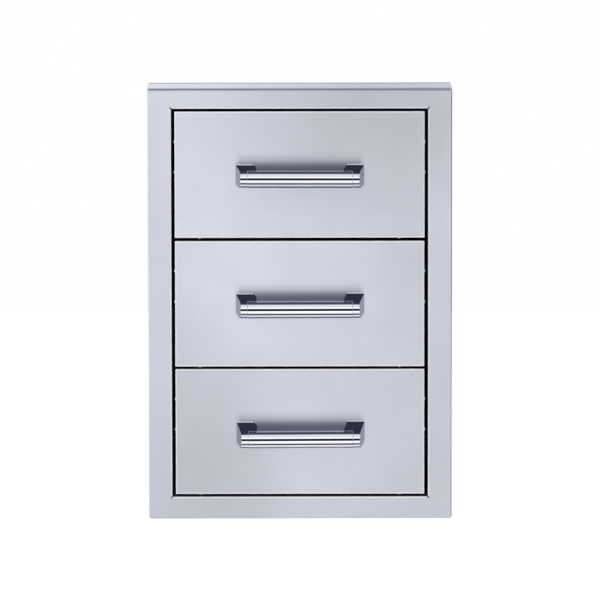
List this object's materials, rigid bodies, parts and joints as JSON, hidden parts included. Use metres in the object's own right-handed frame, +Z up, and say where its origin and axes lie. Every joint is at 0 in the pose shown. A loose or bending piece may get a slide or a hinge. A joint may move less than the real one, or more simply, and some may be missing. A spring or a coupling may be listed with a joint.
{
  "type": "outdoor kitchen drawer unit",
  "caption": "Built-in stainless drawer unit: folded trim frame with a rain lip, cabinet box, flush double-walled drawers with tube pulls, on full-extension ball slides.",
  "frame": {"origin": "centre of the bounding box in X and Y, at the trim frame's lower edge", "axes": "+Z up, +Y to the back of the unit, the drawers open along -Y, +X to the right seen from the front"},
  "size_m": [0.4318, 0.558, 0.6201],
  "materials": {
    "frame_steel": "fine horizontal brushing",
    "front_steel": "fine horizontal brushing",
    "cabinet_steel": "mill finish",
    "tray_steel": "satin",
    "handle_chrome": "mirror polished tube",
    "post_chrome": "polished casting",
    "slide_zinc": "bright zinc plated",
    "cage_steel": "plain steel with a film of grease",
    "screw_steel": "bright pan head"
  },
  "bodies": {
    "cabinet": {"trim_frame": "frame_steel", "cabinet_floor": "cabinet_steel", "cabinet_top": "cabinet_steel", "cabinet_back": "cabinet_steel", "cabinet_left_side": "cabinet_steel", "cabinet_right_side": "cabinet_steel", "bottom_cabinet_channel_left": "slide_zinc", "bottom_cabinet_channel_right": "slide_zinc", "middle_cabinet_channel_left": "slide_zinc", "middle_cabinet_channel_right": "slide_zinc", "top_cabinet_channel_left": "slide_zinc", "top_cabinet_channel_right": "slide_zinc"},
    "bottom_drawer": {"bottom_front_skin": "front_steel", "bottom_front_liner": "cabinet_steel", "bottom_tray": "tray_steel", "bottom_handle_bar": "handle_chrome", "bottom_handle_post_left": "post_chrome", "bottom_handle_screw_left": "screw_steel", "bottom_drawer_rail_left": "slide_zinc", "bottom_handle_post_right": "post_chrome", "bottom_handle_screw_right": "screw_steel", "bottom_drawer_rail_right": "slide_zinc"},
    "bottom_intermediate_rails": {"bottom_intermediate_rail_left": "slide_zinc", "bottom_intermediate_rail_right": "slide_zinc"},
    "bottom_outer_cages": {"bottom_outer_cage_left": "cage_steel", "bottom_outer_cage_right": "cage_steel"},
    "bottom_inner_cages": {"bottom_inner_cage_left": "cage_steel", "bottom_inner_cage_right": "cage_steel"},
    "middle_drawer": {"middle_front_skin": "front_steel", "middle_front_liner": "cabinet_steel", "middle_tray": "tray_steel", "middle_handle_bar": "handle_chrome", "middle_handle_post_left": "post_chrome", "middle_handle_screw_left": "screw_steel", "middle_drawer_rail_left": "slide_zinc", "middle_handle_post_right": "post_chrome", "middle_handle_screw_right": "screw_steel", "middle_drawer_rail_right": "slide_zinc"},
    "middle_intermediate_rails": {"middle_intermediate_rail_left": "slide_zinc", "middle_intermediate_rail_right": "slide_zinc"},
    "middle_outer_cages": {"middle_outer_cage_left": "cage_steel", "middle_outer_cage_right": "cage_steel"},
    "middle_inner_cages": {"middle_inner_cage_left": "cage_steel", "middle_inner_cage_right": "cage_steel"},
    "top_drawer": {"top_front_skin": "front_steel", "top_front_liner": "cabinet_steel", "top_tray": "tray_steel", "top_handle_bar": "handle_chrome", "top_handle_post_left": "post_chrome", "top_handle_screw_left": "screw_steel", "top_drawer_rail_left": "slide_zinc", "top_handle_post_right": "post_chrome", "top_handle_screw_right": "screw_steel", "top_drawer_rail_right": "slide_zinc"},
    "top_intermediate_rails": {"top_intermediate_rail_left": "slide_zinc", "top_intermediate_rail_right": "slide_zinc"},
    "top_outer_cages": {"top_outer_cage_left": "cage_steel", "top_outer_cage_right": "cage_steel"},
    "top_inner_cages": {"top_inner_cage_left": "cage_steel", "top_inner_cage_right": "cage_steel"}
  },
  "joints": [
    {"name": "bottom_drawer_slide", "type": "slide", "parent": "cabinet", "child": "bottom_drawer", "axis": [0, -1, 0], "range_m": [0, 0.457]},
    {"name": "bottom_intermediate_rails_slide", "type": "slide", "parent": "cabinet", "child": "bottom_intermediate_rails", "axis": [0, -1, 0], "range_m": [0, 0.2285]},
    {"name": "bottom_outer_cages_slide", "type": "slide", "parent": "cabinet", "child": "bottom_outer_cages", "axis": [0, -1, 0], "range_m": [0, 0.11425]},
    {"name": "bottom_inner_cages_slide", "type": "slide", "parent": "cabinet", "child": "bottom_inner_cages", "axis": [0, -1, 0], "range_m": [0, 0.34275]},
    {"name": "middle_drawer_slide", "type": "slide", "parent": "cabinet", "child": "middle_drawer", "axis": [0, -1, 0], "range_m": [0, 0.457]},
    {"name": "middle_intermediate_rails_slide", "type": "slide", "parent": "cabinet", "child": "middle_intermediate_rails", "axis": [0, -1, 0], "range_m": [0, 0.2285]},
    {"name": "middle_outer_cages_slide", "type": "slide", "parent": "cabinet", "child": "middle_outer_cages", "axis": [0, -1, 0], "range_m": [0, 0.11425]},
    {"name": "middle_inner_cages_slide", "type": "slide", "parent": "cabinet", "child": "middle_inner_cages", "axis": [0, -1, 0], "range_m": [0, 0.34275]},
    {"name": "top_drawer_slide", "type": "slide", "parent": "cabinet", "child": "top_drawer", "axis": [0, -1, 0], "range_m": [0, 0.457]},
    {"name": "top_intermediate_rails_slide", "type": "slide", "parent": "cabinet", "child": "top_intermediate_rails", "axis": [0, -1, 0], "range_m": [0, 0.2285]},
    {"name": "top_outer_cages_slide", "type": "slide", "parent": "cabinet", "child": "top_outer_cages", "axis": [0, -1, 0], "range_m": [0, 0.11425]},
    {"name": "top_inner_cages_slide", "type": "slide", "parent": "cabinet", "child": "top_inner_cages", "axis": [0, -1, 0], "range_m": [0, 0.34275]}
  ],
  "couplings": [
    {"joint": "bottom_intermediate_rails_slide", "follows": "bottom_drawer_slide", "ratio": 0.5},
    {"joint": "bottom_outer_cages_slide", "follows": "bottom_drawer_slide", "ratio": 0.25},
    {"joint": "bottom_inner_cages_slide", "follows": "bottom_drawer_slide", "ratio": 0.75},
    {"joint": "middle_intermediate_rails_slide", "follows": "middle_drawer_slide", "ratio": 0.5},
    {"joint": "middle_outer_cages_slide", "follows": "middle_drawer_slide", "ratio": 0.25},
    {"joint": "middle_inner_cages_slide", "follows": "middle_drawer_slide", "ratio": 0.75},
    {"joint": "top_intermediate_rails_slide", "follows": "top_drawer_slide", "ratio": 0.5},
    {"joint": "top_outer_cages_slide", "follows": "top_drawer_slide", "ratio": 0.25},
    {"joint": "top_inner_cages_slide", "follows": "top_drawer_slide", "ratio": 0.75}
  ]
}
